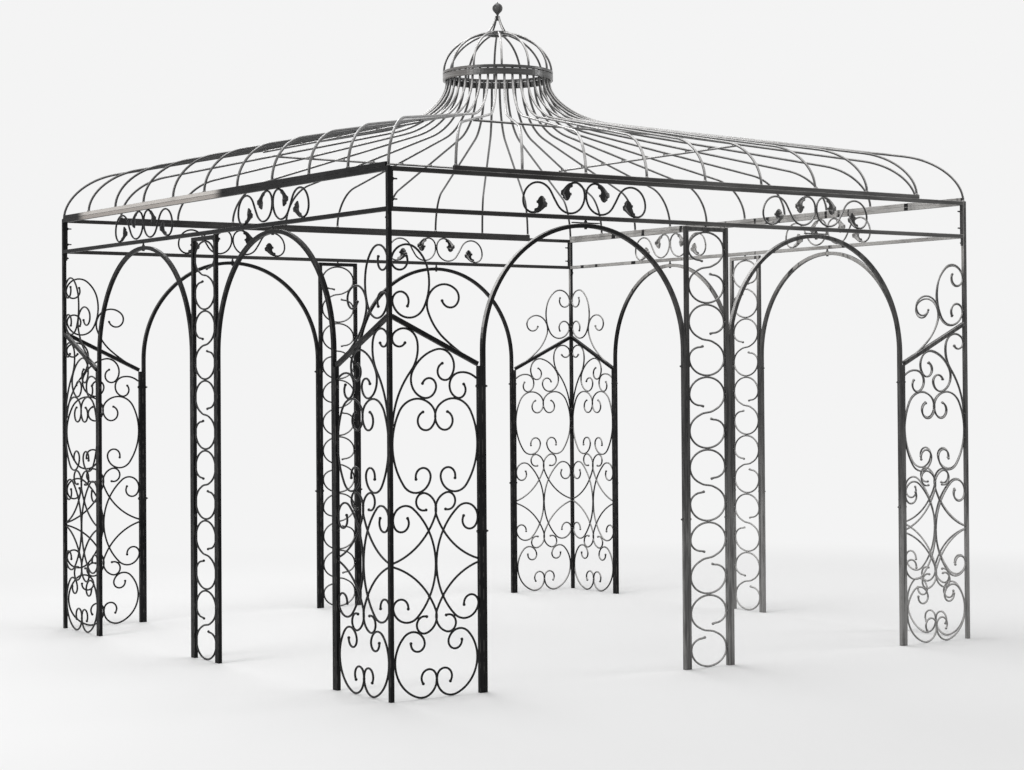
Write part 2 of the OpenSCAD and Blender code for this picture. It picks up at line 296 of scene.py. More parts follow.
def rolled_box(name, depth, corner):
    """Outline of a rolled bar: half width 1 across, half depth as given, rounded corners."""
    points, edge = [], []
    corners = ((1, 1), (-1, 1), (-1, -1), (1, -1))
    for k, ((sx, sy), (nx, ny)) in enumerate(zip(corners, corners[1:] + corners[:1])):
        for a in (0, 45, 90):
            turn = radians(90 * k + a)
            points.append((sx * (1 - corner) + corner * cos(turn),
                           sy * (depth - corner) + corner * sin(turn)))
            edge.append(1.0)
        points.append(((sx + nx) / 2, (sy + ny) / 2 * depth))
        edge.append(0.0)
    return profile(name, points, edge)


def new_tree(name, made, **inputs):
    """A geometry tree with those inputs and one output, and its first and last nodes."""
    tree = bpy.data.node_groups.new(name, "GeometryNodeTree")
    for label, kind in inputs.items():
        tree.interface.new_socket(label, in_out="INPUT", socket_type="NodeSocket" + kind)
    tree.interface.new_socket(made, in_out="OUTPUT", socket_type="NodeSocketGeometry")
    return tree, add_node(tree, "NodeGroupInput"), add_node(tree, "NodeGroupOutput")


def end_tree(tree, shape, given, result):
    """Makes the shape's instances real and gives them the finish that was asked for."""
    real = add_node(tree, "GeometryNodeRealizeInstances")
    finish = add_node(tree, "GeometryNodeSetMaterial")
    wire(tree,
         shape, real.inputs[0],
         real.outputs[0], finish.inputs["Geometry"],
         given.outputs["Finish"], finish.inputs["Material"],
         finish.outputs[0], result.inputs[0])


# A bar swept along each run of points, as wide there as the run's own half width says
bar_tree, given, result = new_tree("swept_bar", "Bars", Runs="Geometry", Profile="Object", Smooth="Bool",
                                   Finish="Material")
runs = add_node(bar_tree, "GeometryNodeMeshToCurve")
half_width = add_node(bar_tree, "GeometryNodeInputNamedAttribute", {"Name": "half_width"}, data_type="FLOAT")
outline = add_node(bar_tree, "GeometryNodeObjectInfo")
outline_curve = add_node(bar_tree, "GeometryNodeMeshToCurve")
sweep = add_node(bar_tree, "GeometryNodeCurveToMesh", {"Fill Caps": True})
shade = add_node(bar_tree, "GeometryNodeSetShadeSmooth")
wire(bar_tree,
     given.outputs["Runs"], runs.inputs[0],
     runs.outputs[0], sweep.inputs["Curve"],
     given.outputs["Profile"], outline.inputs["Object"],
     outline.outputs["Geometry"], outline_curve.inputs[0],
     outline_curve.outputs[0], sweep.inputs["Profile Curve"],
     half_width.outputs["Attribute"], sweep.inputs["Scale"],
     sweep.outputs[0], shade.inputs["Geometry"],
     given.outputs["Smooth"], shade.inputs["Shade Smooth"])
end_tree(bar_tree, shade.outputs[0], given, result)


def grown(name, base, tree, **inputs):
    """Runs a node tree on a base mesh and keeps the result as one plain mesh."""
    maker = put(name + "_maker", base)
    modifier = maker.modifiers.new("grow", "NODES")
    modifier.node_group = tree
    for item in tree.interface.items_tree:
        if item.in_out == "INPUT" and item.name in inputs:
            modifier[item.identifier] = inputs[item.name]
    evaluated = maker.evaluated_get(bpy.context.evaluated_depsgraph_get())
    mesh = bpy.data.meshes.new_from_object(evaluated)
    mesh.name = name
    maker.modifiers.clear()
    bpy.data.objects.remove(maker)
    return put(name, mesh)


def finish_piece(piece, slot, *nodes):
    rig.ride(piece, "root")
    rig.slot(piece, slot)
    if nodes:
        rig.replaces(piece, *nodes)


def bars(name, runs, outline, finish, slot, *nodes, smooth=False):
    """Bars along runs of (point, half width); a run whose ends meet closes into a ring."""
    points, edges, widths = [], [], []
    for run in runs:
        closed = (run[0][0] - run[-1][0]).length < SAME_PLACE
        run = run[:-1] if closed else run
        first = len(points)
        points += [p for p, w in run]
        widths += [w for p, w in run]
        edges += [(k, k + 1) for k in range(first, len(points) - 1)]
        if closed:
            edges.append((len(points) - 1, first))
    base = bpy.data.meshes.new(name + "_runs")
    base.from_pydata(points, edges, [])
    base.attributes.new("half_width", "FLOAT", "POINT").data.foreach_set("value", widths)
    piece = grown(name, base, bar_tree, Profile=outline, Smooth=smooth, Finish=finish)
    finish_piece(piece, slot, *nodes)


# Scale and detail of the noises, and the values between which each of them begins to show
STREAK_NOISE, RUB_NOISE, CHIP_NOISE, SHEEN_NOISE = (1.0, 3.0), (24.0, 4.0), (55.0, 6.0), (90.0, 3.0)
BRISTLE_NOISE, RIPPLE_NOISE = (420.0, 3.0), (45.0, 2.0)
PATCHES, STREAKS, EDGES, RUBS, CHIPS = (0.42, 0.68), (0.5, 0.75), (0.80, 0.98), (0.45, 0.62), (0.71, 0.76)
STREAK_STRENGTH, RIPPLE_STRENGTH, BARE_ROUGHER = 0.6, 1.5, 0.12


class Paint:
    """A painted finish whose colour is built up in layers on its own node tree."""

    def __init__(self, name, dark, light, patch_scale, grain):
        self.material = bpy.data.materials.new(name)
        self.material.use_nodes = True
        self.tree = self.material.node_tree
        self.body = self.tree.nodes["Principled BSDF"]
        coordinates = add_node(self.tree, "ShaderNodeTexCoord")
        self.place = coordinates.outputs["Object"]
        self.parted = add_node(self.tree, "ShaderNodeSeparateXYZ")
        self.facing = add_node(self.tree, "ShaderNodeSeparateXYZ")
        wire(self.tree, self.place, self.parted.inputs[0], coordinates.outputs["Normal"], self.facing.inputs[0])
        patches = self.ranged(self.noise(patch_scale, 5.0), *PATCHES)
        self.streaks = self.ranged(self.noise(*STREAK_NOISE, self.stretched(grain)), *STREAKS)
        tone = self.maths("MAXIMUM", patches, self.maths("MULTIPLY", self.streaks, STREAK_STRENGTH))
        self.colour = self.blended(tone, dark, light)

    def feed(self, target, value):
        """Sets an input to a number or a colour, or wires another node's output to it."""
        if isinstance(value, tuple):
            target.default_value = (*value, 1.0)
        elif isinstance(value, (int, float)):
            target.default_value = value
        else:
            wire(self.tree, value, target)

    def stretched(self, grain):
        node = add_node(self.tree, "ShaderNodeMapping", {"Scale": grain})
        wire(self.tree, self.place, node.inputs["Vector"])
        return node.outputs[0]

    def noise(self, scale, detail, vector=None, rough=0.55):
        node = add_node(self.tree, "ShaderNodeTexNoise", {"Scale": scale, "Detail": detail, "Roughness": rough})
        wire(self.tree, vector or self.place, node.inputs["Vector"])
        return node.outputs["Fac"]

    def ranged(self, value, low, high, to_low=0.0, to_high=1.0):
        limits = {"From Min": low, "From Max": high, "To Min": to_low, "To Max": to_high}
        node = add_node(self.tree, "ShaderNodeMapRange", limits, interpolation_type="SMOOTHSTEP")
        wire(self.tree, value, node.inputs["Value"])
        return node.outputs["Result"]

    def across(self, axis, *limits):
        """The place along an axis, ranged."""
        return self.ranged(self.parted.outputs[axis], *limits)

    def maths(self, operation, a, b):
        node = add_node(self.tree, "ShaderNodeMath", operation=operation)
        self.feed(node.inputs[0], a)
        self.feed(node.inputs[1], b)
        return node.outputs[0]

    def all_of(self, *masks):
        total = masks[0]
        for mask in masks[1:]:
            total = self.maths("MULTIPLY", total, mask)
        return total

    def blended(self, factor, a, b):
        node = add_node(self.tree, "ShaderNodeMix", data_type="RGBA")
        for k, value in ((0, factor), (6, a), (7, b)):
            self.feed(node.inputs[k], value)
        return node.outputs[2]

    def finished(self, worn, edge_wear, gloss, sheen):
        """Rubbed edges and chips over the colour so far, then sheen, brush marks and gloss."""
        edge = add_node(self.tree, "ShaderNodeAttribute", attribute_name="edge").outputs["Fac"]
        rubbed = self.all_of(self.ranged(edge, *EDGES), self.ranged(self.noise(*RUB_NOISE), *RUBS))
        chips = self.ranged(self.noise(*CHIP_NOISE, rough=0.7), *CHIPS)
        bare = self.maths("MULTIPLY", self.maths("MAXIMUM", rubbed, chips), edge_wear)
        sheen = self.ranged(self.noise(*SHEEN_NOISE), 0.3, 0.7, sheen - 0.07, sheen + 0.09)
        ripple = self.maths("MULTIPLY", self.noise(*RIPPLE_NOISE), RIPPLE_STRENGTH)
        bump = add_node(self.tree, "ShaderNodeBump", {"Strength": 0.25, "Distance": 0.0006})
        self.feed(self.body.inputs["Base Color"], self.blended(bare, self.colour, worn))
        self.feed(self.body.inputs["Roughness"],
                  self.maths("ADD", sheen, self.maths("MULTIPLY", bare, BARE_ROUGHER)))
        self.feed(bump.inputs["Height"], self.maths("ADD", self.noise(*BRISTLE_NOISE), ripple))
        self.feed(self.body.inputs["Normal"], bump.outputs["Normal"])
        self.feed(self.body.inputs["Specular IOR Level"], gloss)
        return self.material


# Dark, light and worn tones of the black paint
BLACKS = ((0.004, 0.004, 0.0045), (0.013, 0.013, 0.0135), (0.11, 0.105, 0.10))
# Chalk grey, and the pale grey of the painted highlight on upward faces, which on the roof also stands for paint worn
# along the upper faces
CHALK, HIGHLIGHT_AND_WEAR_GREY = (0.25, 0.247, 0.242), (0.62, 0.61, 0.60)
# Pale grey and taupe of the painted reflection and painted highlights high on the right side
PAINTED_REFLECTION_GREY, TAUPE = (0.45, 0.44, 0.425), (0.26, 0.245, 0.23)
UPRIGHT_GRAIN = (60.0, 60.0, 4.0)
# Where the weather side and the chalked feet begin and are complete, and how far the chalk covers
WEATHER_X, WEATHER_Y, FOOT_Z = (-0.7, 0.1), (1.1, 0.3), (1.15, 0.1)
CHALK_ALL_OVER, CHALK_AT_FOOT = 0.25, 0.90


def iron_paint(name, dark, light, worn, edge_wear, gloss, sheen,
               patch_scale=2.2, grain=UPRIGHT_GRAIN, wear_and_painted_light=None):
    """Brushed iron paint: patchy tone, fine grain, streaks along the bar and rubbed edges. The
    weather side has faded, and the feet there have chalked grey."""
    paint = Paint(name, dark, light, patch_scale, grain)
    foot = paint.all_of(paint.across("Z", *FOOT_Z), paint.ranged(paint.noise(5.0, 3.0), 0.3, 0.6, 0.6, 1.0))
    chalk = paint.maths("ADD", paint.maths("MULTIPLY", foot, CHALK_AT_FOOT), CHALK_ALL_OVER)
    brushed = paint.ranged(paint.noise(1.0, 4.0, paint.stretched(grain)), 0.36, 0.62, 0.5, 1.4)
    chalked = paint.all_of(paint.across("X", *WEATHER_X), paint.across("Y", *WEATHER_Y), chalk, brushed)
    paint.colour = paint.blended(chalked, paint.colour, CHALK)
    if wear_and_painted_light:
        wear_and_painted_light(paint)
    return paint.finished(worn, edge_wear, gloss, sheen)


def slope_highlight_and_wear(paint, strength):
    """A painted highlight: the faces that slope upwards are painted a pale grey, but not the level ones."""
    slope = paint.all_of(paint.ranged(paint.facing.outputs["Z"], 0.05, 0.25),
                         paint.ranged(paint.facing.outputs["Z"], 0.95, 0.80),
                         paint.ranged(paint.noise(9.0, 4.0), 0.30, 0.55, 0.55, 1.0))
    paint.colour = paint.blended(paint.maths("MULTIPLY", slope, strength), paint.colour, HIGHLIGHT_AND_WEAR_GREY)


# The skin of the inner faces that carries a painted reflection, its height, and the grain and breaks of its dark marks
SKIN_OUT, SKIN_IN, REFLECTION_Z = (0.0012, 0.0004), (-0.004, -0.002), (1.75, 2.08)
DARK_MARK_GRAIN, DARK_MARK_BREAKS = (3.0, 16.0, 3.0), (0.60, 0.66)


def tube_reflection_and_highlight(paint):
    """The inner faces high on the right side, over the walkways, are painted a pale grey with dark marks, a painted
    reflection; the upward faces of the tubes, most at the front and none on the left side, get a painted highlight.
    """
    mask = paint.all_of(paint.across("X", *(half - TUBE + skin for skin in SKIN_OUT)),
                        paint.across("X", *(half - TUBE + skin for skin in SKIN_IN)),
                        paint.across("Z", *REFLECTION_Z),
                        paint.ranged(paint.noise(7.0, 4.0), 0.25, 0.6, 0.6, 1.0))
    pale = paint.blended(paint.streaks, PAINTED_REFLECTION_GREY, TAUPE)
    dark_marks = paint.ranged(paint.noise(1.0, 2.0, paint.stretched(DARK_MARK_GRAIN)), *DARK_MARK_BREAKS)
    paint.colour = paint.blended(mask, paint.colour, paint.blended(dark_marks, pale, BLACKS[1]))
    slope_highlight_and_wear(paint, paint.all_of(paint.across("X", -1.6, -1.2), paint.across("Y", 0.0, -1.2, 0.1, 1.0)))


def straight(*points, width=TUBE / 2):
    return [(Vector(p), width) for p in points]


TUBE_OUTLINE = rolled_box("tube_outline", 1.0, 0.18)
# The tube paint carries a painted reflection on the right side's inner faces and a painted highlight on upward faces
tube_paint = iron_paint("black_tube_paint", *BLACKS, edge_wear=0.5, gloss=0.10, sheen=0.40,
                        wear_and_painted_light=tube_reflection_and_highlight)
for i, corner in enumerate(("front_left", "front_right", "back_right", "back_left")):
    foot = on_side(i, TUBE / 2, 0.0)
    bars("post_" + corner, [straight(foot, (foot.x, foot.y, POST_TOP))], TUBE_OUTLINE, tube_paint,
         "iron_tube", "corner_post_" + corner)

# ---- Corner panels ----
# Eight panels beside the corner posts. Each has an outer post, a raking rail welded between
# the two posts, and scrolls bent cold from round bar and welded where they touch.
SIDES = ("front", "right", "back", "left")
HANDS = ("left", "right")
MM = 0.001
SEAT = 0.0002
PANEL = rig.box("front_panel_left")
PANEL_WIDTH = PANEL[1].x - PANEL[0].x - TUBE
PANEL_OUT = PANEL_WIDTH + 2 * TUBE
OUTER_POST, RAKE_RISE = 1.440, 0.205
ROUND_SIDES = 10
# The radius of the scrolls' bar in metres. The scrolls themselves are drawn in millimetres
SCROLL_BAR = 0.005
EYE = 38
# Start point, heading and [radius, turn] bends of each scroll, from the corner post's inner face
C_BOTTOM = ((155, 54), 139, ((EYE, -214), (75, -124), (164, -115), (61, -119), (EYE - 3, -214)))
C_TALL = ((72, 788), 313, ((EYE, -191), (62, -162), (318, -95), (73, -122), (EYE, -211)))
ARM_UP = ((3, 592), 17, ((336, 51), (75, 95), (EYE, 226)))
ARM_DOWN = ((3, 576), 343, ((336, -51), (75, -95), (EYE, -226)))
C_OVAL = ((122, 943), 116, ((EYE, -215), (75, -136), (310, -62), (104, -106), (67, -95), (EYE + 3, -211)))
STEM = ((3, 1181), 87, ((398, -37), (159, 49), (70, 123), (35, 207)))
C_RAKE = ((264, 1453), 191, ((EYE, 217), (74, 145), (186, 48), (82, 104), (54, 95), (36, 180)))
HOOK = ((434, 1386), 140, ((111, 52), (57, 142), (36, 170)))
C_CREST = ((75, 1920), 307, ((41, -231), (79, -113), (161, -40), (235, -41), (86, -133), (41, -240)))
CREST_SIDE = ((436, 1453), 155, ((771, -15), (270, -30), (90, -152), (45, -216)))
PAIRED = (C_BOTTOM, C_TALL, ARM_UP, ARM_DOWN, C_OVAL)
SINGLE = (STEM, C_RAKE, HOOK, C_CREST, CREST_SIDE)
# A scroll that starts nearer to a post than this is cut square there and welded to it
TIED_LEFT, TIED_RIGHT = 10, 400
CHORD_SAG = 0.25
# The lowest curls are lifted clear of the ground, and the lift fades out up the panel
FOOT_LIFT, FOOT_ZONE = 7, 400
RAKE_DROP = 2


def bent(start, heading, bends):
    """Points in millimetres along a bar bent through arcs; left turns are positive."""
    point, heading = Vector(start), radians(heading)
    points = [point.copy()]
    for radius, turn in bends:
        turn, s = radians(turn), copysign(1, turn)
        centre = point + s * radius * Vector((-sin(heading), cos(heading)))
        steps = max(2, ceil(abs(turn) / (2 * acos(1 - CHORD_SAG / radius))))
        for k in range(1, steps + 1):
            a = heading + turn * k / steps
            points.append(centre + s * radius * Vector((sin(a), -cos(a))))
        point, heading = points[-1], heading + turn
    return points


def along(line, distance):
    """A point that far along a line, or past its start where the distance is negative."""
    if distance < 0:
        return line[0] + (line[0] - line[1]).normalized() * -distance
    for a, b in zip(line, line[1:]):
        step = (b - a).length
        if distance <= step:
            return a.lerp(b, distance / step)
        distance -= step
    return line[-1]


# How far each part of a hammered bar end lies from its tip, and how thick it is there, both
# as multiples of the bar's radius
CUT_END = ((0.0, 1.0),)
BALL_END = ((0.0, 0.25), (0.10, 0.62), (0.35, 1.02), (0.75, 1.30), (1.25, 1.42),
            (1.80, 1.30), (2.3, 1.08), (3.0, 1.0))
FISHTAIL_END = ((0.0, 1.15), (0.15, 1.32), (1.0, 1.30), (2.6, 1.08), (4.0, 1.0))
END_CLEAR = 0.002


def hammered(points, width, start=BALL_END, end=BALL_END):
    """A run of (point, half width) along points, with its ends worked as their lists say."""
    marks = [0.0]
    for a, b in zip(points, points[1:]):
        marks.append(marks[-1] + (b - a).length)
    first, last = start[-1][0] * width + END_CLEAR, marks[-1] - end[-1][0] * width - END_CLEAR
    run = [(along(points, d * width), share * width) for d, share in start]
    run += [(p, width) for p, m in zip(points, marks) if first < m < last]
    run += [(along(points, marks[-1] - d * width), share * width) for d, share in reversed(end)]
    return run


def bar_highlights(paint):
    """A painted highlight: the scrolls high on the right side are painted pale grey in patches, and all but those on
    the left get pale upward faces.
    """
    mask = paint.all_of(paint.across("X", half - 0.05, half - 0.03), paint.across("Z", 1.6, 2.1),
                        paint.ranged(paint.noise(30.0, 3.0), 0.4, 0.6, 0.1, 0.8))
    paint.colour = paint.blended(mask, paint.colour, PAINTED_REFLECTION_GREY)
    slope_highlight_and_wear(paint, paint.across("X", -0.6, 0.4, 0.0, 0.7))


def touches(lines, left, right, reach, apart=0.03):
    """Where bars touch each other or the upright beside them, as (x, z)."""
    found = []

    def note(gap, x, z):
        if gap < reach:
            found.append((gap, x, z))

    for n, line in enumerate(lines):
        for x, z in line:
            note(2 * (x - left), left, z)
            note(2 * (right - x), right, z)
            for other in lines[n + 1:]:
                for ox, oz in other:
                    if abs(ox - x) < reach and abs(oz - z) < reach:
                        note(hypot(ox - x, oz - z), (x + ox) / 2, (z + oz) / 2)
    kept = []
    for gap, x, z in sorted(found):
        if all(hypot(x - kx, z - kz) > apart for kx, kz in kept):
            kept.append((x, z))
    return kept


ROUND_OUTLINE = profile("round_outline", round_points(1, ROUND_SIDES), [0.0] * ROUND_SIDES)
# The bar paint carries painted highlights: pale patches on the scrolls high on the right side, and pale upward faces
bar_paint = iron_paint("black_bar_paint", *BLACKS, edge_wear=0.4, gloss=0.22, sheen=0.27,
                       wear_and_painted_light=bar_highlights)
panel_scrolls = []
for scroll in PAIRED + SINGLE:
    start, heading, bends = scroll
    end = BALL_END if TIED_LEFT <= start[0] <= TIED_RIGHT else CUT_END
    line = [(p.x * MM, (p.y + FOOT_LIFT * max(0, 1 - p.y / FOOT_ZONE)) * MM)
            for p in bent(start, heading, bends)]
    panel_scrolls.append((line, end))
    if scroll in PAIRED:
        panel_scrolls.append(([(PANEL_WIDTH - x, z) for x, z in line], end))
WELD_REACH = 2 * SCROLL_BAR + 0.002
panel_welds = touches([line for line, end in panel_scrolls], 0.0, PANEL_WIDTH, WELD_REACH)
rake_slope = atan(RAKE_RISE / PANEL_WIDTH)
rake_foot = OUTER_POST + TUBE / 2 / cos(rake_slope) - RAKE_DROP * MM
for i, side in enumerate(SIDES):
    for j, hand in enumerate(HANDS):
        scrolls = [hammered([on_side(i, TUBE + x, z, j) for x, z in line], SCROLL_BAR, end)
                   for line, end in panel_scrolls]
        bars(f"scrolls_{side}_{hand}", scrolls, ROUND_OUTLINE, bar_paint, "iron_bar", smooth=True)
        foot, head = (on_side(i, PANEL_OUT - TUBE / 2, z, j) for z in (0.0, OUTER_POST))
        low = on_side(i, TUBE + PANEL_WIDTH, rake_foot, j)
        high = on_side(i, TUBE + SEAT, rake_foot + RAKE_RISE, j)
        bars(f"panel_frame_{side}_{hand}", [straight(foot, head), straight(low, high)], TUBE_OUTLINE,
             tube_paint, "iron_tube", f"{side}_panel_{hand}")

# ---- Arches ----
# Two round arches a side, each one length of square tube rolled to a half circle with its
# legs left straight. The legs bolt to the outer post on one hand and the pier on the other.
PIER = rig.box("front_pier")
PIER_WIDTH = PIER[1].x - PIER[0].x
ARCH_SPAN = (2 * half - 2 * PANEL_OUT - PIER_WIDTH) / 2
ARCH_RADIUS = (ARCH_SPAN - TUBE) / 2
ARCH_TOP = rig.box("front_arch_left")[1].z
ARCH_SPRING = ARCH_TOP - TUBE / 2 - ARCH_RADIUS
ARCH_MIDDLE = PANEL_OUT + ARCH_SPAN / 2
ARCH_STEPS = 72
# The arches are a touch slimmer than the posts that they stand against
ARCH_SLIMMER = 0.0001
turns = [pi * (1 - k / ARCH_STEPS) for k in range(ARCH_STEPS + 1)]
arch = [(-ARCH_RADIUS, 0.0)]
arch += [(ARCH_RADIUS * cos(a), ARCH_SPRING + ARCH_RADIUS * sin(a)) for a in turns]
arch += [(ARCH_RADIUS, 0.0)]
for i, side in enumerate(SIDES):
    for j, hand in enumerate(HANDS):
        run = straight(*(on_side(i, ARCH_MIDDLE + x, z, j) for x, z in arch), width=TUBE / 2 - ARCH_SLIMMER)
        bars(f"arch_{side}_{hand}", [run], TUBE_OUTLINE, tube_paint, "iron_tube", f"{side}_arch_{hand}")

# ---- Piers ----
# A pier stands between the two arches of each side: two posts, a cap of the same tube and
# six round-bar S-scrolls one over the other, with their tips flattened on the anvil.
PIER_SCROLLS = 6
PIER_CLEAR = PIER_WIDTH - 2 * TUBE
PIER_TOP = PIER[1].z
WELD = 0.0005
# The inner turn of a curl against its outer one, how far in it is set, and where its tip ends
CURL, CURL_IN, CURL_TIP = 0.64, 0.36, (-0.2, 0.36)
CURVE_STEPS = 2


def pier_scroll(width, height):
    """Half of an S-scroll that fits a space 2 * width wide and height high, from its middle."""
    a, b = width - SCROLL_BAR + WELD, height / 2 - SCROLL_BAR + WELD
    points = [(0.0, 0.0), (a / 4, b / 20)]
    points += [(a * cos(t), height / 2 + b * sin(t)) for t in map(radians, range(-60, 181, 10))]
    points += [(a * (CURL * cos(t) - CURL_IN), height / 2 + CURL * b * sin(t))
               for t in map(radians, range(190, 271, 10))]
    return points + [(CURL_TIP[0] * a, CURL_TIP[1] * b)]


def softened(points):
    """A smooth curve through the points."""
    ends = [2 * points[0] - points[1], *points, 2 * points[-1] - points[-2]]
    curve = []
    for a, b, c, d in zip(ends, ends[1:], ends[2:], ends[3:]):
        for t in (k / CURVE_STEPS for k in range(CURVE_STEPS)):
            curve.append(0.5 * (2 * b + (c - a) * t + (2 * a - 5 * b + 4 * c - d) * t ** 2
                                + (3 * b - a - 3 * c + d) * t ** 3))
    return curve + [points[-1]]


share = (PIER_TOP - TUBE - WELD) / PIER_SCROLLS
upper = pier_scroll(PIER_CLEAR / 2, share / 2)
whole = [(-x, -z) for x, z in reversed(upper)] + upper[1:]
pier_welds = []
for i, side in enumerate(SIDES):
    lines = []
    for k in range(PIER_SCROLLS):
        way = -1 if (PIER_SCROLLS + k + (0 if i > 1 else 1)) % 2 else 1
        lines.append([(way * x, WELD + (k + 0.5) * share + z) for x, z in whole])
    pier_welds.append(touches(lines, -PIER_CLEAR / 2, PIER_CLEAR / 2, WELD_REACH))
    scrolls = [hammered(softened([on_side(i, half + x, z) for x, z in line]), SCROLL_BAR,
                        FISHTAIL_END, FISHTAIL_END) for line in lines]
    bars(f"pier_scrolls_{side}", scrolls, ROUND_OUTLINE, bar_paint, "iron_bar", smooth=True)
    runs = []
    for x in (half - (PIER_CLEAR + TUBE) / 2, half + (PIER_CLEAR + TUBE) / 2):
        runs.append(straight(on_side(i, x, 0.0), on_side(i, x, PIER_TOP)))
    runs.append(straight(*(on_side(i, half + s * PIER_CLEAR / 2, PIER_TOP - TUBE / 2) for s in (-1, 1))))
    bars(f"pier_{side}", runs, TUBE_OUTLINE, tube_paint, "iron_tube", side + "_pier")

# ---- Fascia frames ----
# Two rails of square tube a side, welded into a ladder. The left and right frames carry the
# corner stubs that stand on the posts; the front and back ones bolt to them by end flats.
RAIL_BOTTOM, FASCIA_TOP = (corner.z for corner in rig.box("front_fascia"))
END_FLAT = 0.008
FLAT_OUTLINE = rolled_box("flat_outline", TUBE / END_FLAT, 0.3)
# The front and back rails have dulled more than the left and right ones
DULLED = ((0.026, 0.025, 0.025), (0.050, 0.049, 0.048), BLACKS[2])
RAIL_FINISHES = ((DULLED, (4.0, 60.0, 60.0)), (BLACKS, (60.0, 4.0, 60.0)))
BARE_FROM, BARE_TO, BARE_BLUR = -0.16, 1.50, 0.06
BARE, BARE_LOW, BARE_DULL = (0.56, 0.53, 0.50), (0.36, 0.33, 0.305), (0.42, 0.40, 0.375)


def bared_rails(paint):
    """A length of the left top rails is worn to the grey primer, besides the painted reflection inside and the painted
    highlight on upward faces.
    """
    tube_reflection_and_highlight(paint)
    mask = paint.all_of(paint.across("X", 0.0008 - half, 0.0003 - half),
                        paint.across("Z", FASCIA_TOP - TUBE - 0.002, FASCIA_TOP - TUBE),
                        paint.all_of(paint.across("Y", BARE_FROM - BARE_BLUR, BARE_FROM + BARE_BLUR),
                                     paint.across("Y", BARE_TO + BARE_BLUR, BARE_TO - BARE_BLUR)))
    primer = paint.blended(paint.across("Z", FASCIA_TOP - 0.002, FASCIA_TOP + 0.002), BARE_LOW, BARE)
    paint.colour = paint.blended(mask, paint.colour, paint.blended(paint.streaks, primer, BARE_DULL))


rail_paints = [iron_paint(f"rail_paint_{k}", *tones, edge_wear=0.15, gloss=0.10, sheen=0.40, grain=grain,
                          wear_and_painted_light=bared_rails) for k, (tones, grain) in enumerate(RAIL_FINISHES)]
for i, side in enumerate(SIDES):
    runs, flats = [], []
    for z in (RAIL_BOTTOM + TUBE / 2, FASCIA_TOP - TUBE / 2):
        runs.append(straight(*(on_side(i, TUBE + SEAT, z, j) for j in (0, 1))))
    for j in (0, 1):
        if i % 2:
            runs.append(straight(*(on_side(i, TUBE / 2, z, j) for z in (POST_TOP + SEAT, FASCIA_TOP))))
        else:
            flats.append(straight(*(on_side(i, TUBE + SEAT + END_FLAT / 2, z, j)
                                    for z in (RAIL_BOTTOM + TUBE, FASCIA_TOP - TUBE)), width=END_FLAT / 2))
    bars("fascia_" + side, runs, TUBE_OUTLINE, rail_paints[i % 2], "iron_tube", side + "_fascia")
    if flats:
        bars("end_flats_" + side, flats, FLAT_OUTLINE, tube_paint, "iron_tube")

# ---- Fascia scrolls ----
# Over each arch two S-scrolls of round bar stand back to back between the fascia rails. Each
# of their four ends is forged out into a toothed leaf that follows the last of the curl.
FASCIA_GAP = FASCIA_TOP - RAIL_BOTTOM - 2 * TUBE
# First heading and [radius, turn] bends of a scroll, with radii as shares of half the gap
FASCIA_HEADING = 276
FASCIA_BENDS = ((0.62, -182), (1.0, -155), (7.5, 6), (1.0, 157), (0.62, 182))
LEAF_ON_BAR, LEAF_FREE, LEAF_STEP = 70, 20, 3
# How far along the leaf, and how far out it reaches on the inside and the outside of the curl
LEAF_OUTLINE = ((0.0, 9, 6), (0.04, 16, 7), (0.09, 16, 8), (0.16, 13, 10), (0.28, 13, 13), (0.40, 14, 17),
                (0.50, 18, 23), (0.57, 24, 30), (0.62, 28, 36), (0.65, 26, 36), (0.685, 19, 24), (0.74, 19, 23),
                (0.80, 22, 25), (0.84, 19, 21), (0.89, 16, 17), (0.94, 12, 13), (0.98, 8, 8), (1.0, 4, 4))
# The blade is cupped, so that its midrib stands forward of its edges: (forward, out, edge wear)
LEAF_BLADE = ((-0.20, 1, 1), (-0.08, 0.62, 0), (0.07, 0.24, 0), (0.22, 0, 0.9), (0.07, -0.24, 0),
              (-0.08, -0.62, 0), (-0.20, -1, 1), (-0.20, -0.6, 0), (-0.07, -0.24, 0), (0.05, 0, 0),
              (-0.07, 0.24, 0), (-0.20, 0.6, 0))


def fascia_scroll():
    """One S-scroll between the rails, ending where it meets its twin, in millimetres."""
    line = bent((0, 0), FASCIA_HEADING, [(share * FASCIA_GAP / MM / 2, turn) for share, turn in FASCIA_BENDS])
    xs, zs = [p.x for p in line], [p.y for p in line]
    inset = (SCROLL_BAR - WELD) / MM
    grow = (FASCIA_GAP / MM - 2 * inset) / (max(zs) - min(zs))
    return [Vector(((p.x - max(xs)) * grow - inset, (p.y - min(zs)) * grow + inset)) for p in line]


def leaf_run(line):
    """Centre and half width of the leaf on the start of a curled line, in millimetres."""
    run = []
    for share, inside, outside in LEAF_OUTLINE:
        distance = LEAF_ON_BAR - share * (LEAF_ON_BAR + LEAF_FREE)
        inward = (along(line, distance + LEAF_STEP) - along(line, distance - LEAF_STEP)).normalized()
        centre = along(line, distance) + Vector((-inward.y, inward.x)) * (outside - inside) / 2
        run.append((centre, (inside + outside) / 2))
    return run


def on_fascia(i, j, m, p):
    """A point of the scroll over one arch, or with m of -1 of its twin on the other hand."""
    return on_side(i, ARCH_MIDDLE + m * p.x * MM, RAIL_BOTTOM + TUBE + p.y * MM, j)


